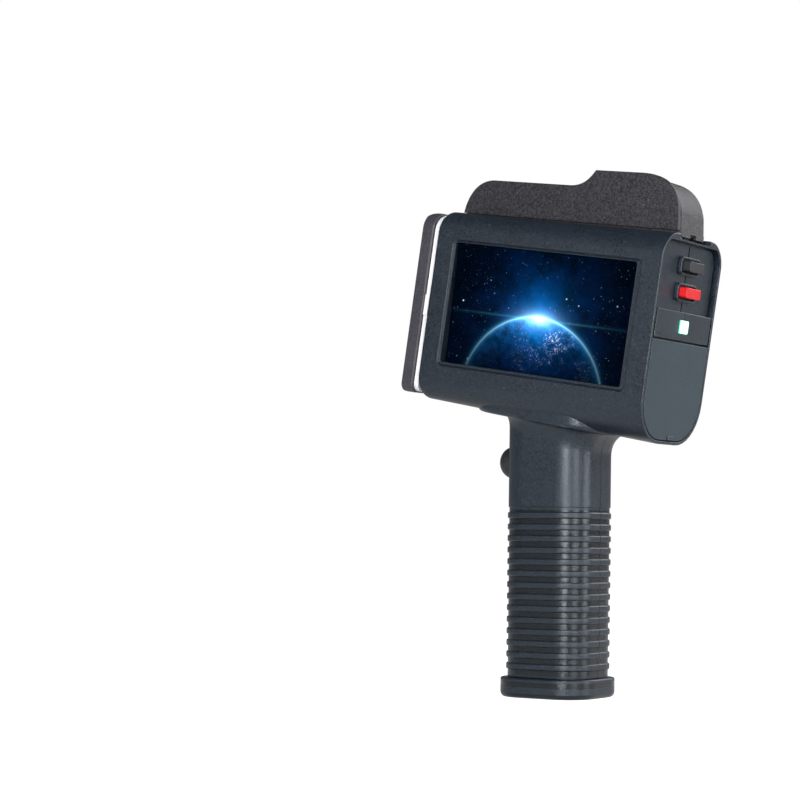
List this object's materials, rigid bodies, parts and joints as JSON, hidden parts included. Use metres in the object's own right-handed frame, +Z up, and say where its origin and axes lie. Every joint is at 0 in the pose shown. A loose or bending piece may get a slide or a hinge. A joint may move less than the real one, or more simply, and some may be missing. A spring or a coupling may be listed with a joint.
{
  "type": "handheld date code inkjet printer",
  "caption": "Pistol-grip handheld inkjet printer: tilted box body with colour screen, hinged cartridge lid, end buttons and lamp, battery door, front guide plate, ribbed grip and trigger.",
  "frame": {"origin": "centre of the flat underside of the grip's base cap", "axes": "+Z up along the grip, -X towards the print face, +X towards the end with the buttons, -Y the screen side"},
  "size_m": [0.1421, 0.0566, 0.2395],
  "materials": {
    "shell_plastic": "fine-textured moulded ABS, satin",
    "lid_plastic": "fine-textured moulded ABS, matt",
    "door_plastic": "grey-blue moulded ABS, satin",
    "plate_plastic": "dark grey moulded plastic, low wear",
    "white_plastic": "white moulded plastic",
    "screen_glass": "cover glass, polished",
    "screen_panel": null,
    "red_plastic": "red button plastic",
    "black_plastic": "black moulded plastic",
    "lamp_plastic": "lit translucent light pipe",
    "rubber": "rubber tyre",
    "steel": "zinc-plated steel",
    "circuit_board": "green solder mask",
    "cell_wrap": "blue heat-shrink wrap",
    "nozzle_metal": "gold-coloured nozzle plate"
  },
  "bodies": {
    "printer_body": {"left_housing": "shell_plastic", "right_housing": "shell_plastic", "base_cap": "shell_plastic", "front_guide_plate": "plate_plastic", "front_spacer": "white_plastic", "encoder_axle": "steel", "guide_axle_upper": "steel", "guide_axle_lower": "steel", "display_glass": "screen_glass", "lcd_module": "screen_panel", "main_board": "circuit_board", "interface_board": "circuit_board", "contact_board": "circuit_board", "encoder_board": "circuit_board", "battery_pack": "cell_wrap", "ink_cartridge": "black_plastic", "nozzle_plate": "nozzle_metal", "cartridge_cradle": "black_plastic", "lid_hinge_pin": "steel", "select_button_collar": "shell_plastic", "select_switch": "black_plastic", "power_button_collar": "shell_plastic", "power_switch": "black_plastic", "led_light_pipe": "lamp_plastic", "door_hinge_pin": "steel", "trigger_switch": "black_plastic", "trigger_lead": "black_plastic", "plate_screw_1": "steel", "shell_screw_1": "steel", "plate_screw_2": "steel", "shell_screw_2": "steel", "plate_screw_3": "steel", "shell_screw_3": "steel", "plate_screw_4": "steel", "shell_screw_4": "steel", "grip_screw_1": "steel", "grip_screw_2": "steel"},
    "cartridge_lid": {"cartridge_lid": "lid_plastic"},
    "battery_door": {"battery_door": "door_plastic"},
    "select_button": {"select_button": "black_plastic"},
    "power_button": {"power_button": "red_plastic"},
    "trigger": {"trigger_button": "black_plastic"},
    "encoder_roller": {"encoder_roller": "rubber"},
    "guide_roller_upper": {"guide_roller_upper": "rubber"},
    "guide_roller_lower": {"guide_roller_lower": "rubber"}
  },
  "joints": [
    {"name": "cartridge_lid_hinge", "type": "hinge", "parent": "printer_body", "child": "cartridge_lid", "pos_m": [0.06569, 0, 0.20922], "axis": [0, 1, 0], "range_deg": [0, 90]},
    {"name": "battery_door_hinge", "type": "hinge", "parent": "printer_body", "child": "battery_door", "pos_m": [0.06112, 0, 0.15985], "axis": [0, -1, 0], "range_deg": [0, 90]},
    {"name": "select_button_press", "type": "slide", "parent": "printer_body", "child": "select_button", "axis": [-0.9887, 0, 0.1502], "range_m": [0, 0.0015], "stiffness_N_per_m": 600},
    {"name": "power_button_press", "type": "slide", "parent": "printer_body", "child": "power_button", "axis": [-0.9887, 0, 0.1502], "range_m": [0, 0.0015], "stiffness_N_per_m": 600},
    {"name": "trigger_press", "type": "slide", "parent": "printer_body", "child": "trigger", "axis": [1, 0, 0], "range_m": [0, 0.003], "stiffness_N_per_m": 500},
    {"name": "encoder_roller_spin", "type": "hinge", "parent": "printer_body", "child": "encoder_roller", "pos_m": [-0.06219, 0.0195, 0.17909], "axis": [0.1502, 0, 0.9887], "continuous": true},
    {"name": "guide_roller_upper_spin", "type": "hinge", "parent": "printer_body", "child": "guide_roller_upper", "pos_m": [-0.05858, -0.0195, 0.20282], "axis": [0.1502, 0, 0.9887], "continuous": true},
    {"name": "guide_roller_lower_spin", "type": "hinge", "parent": "printer_body", "child": "guide_roller_lower", "pos_m": [-0.06504, -0.0195, 0.16031], "axis": [0.1502, 0, 0.9887], "continuous": true}
  ]
}
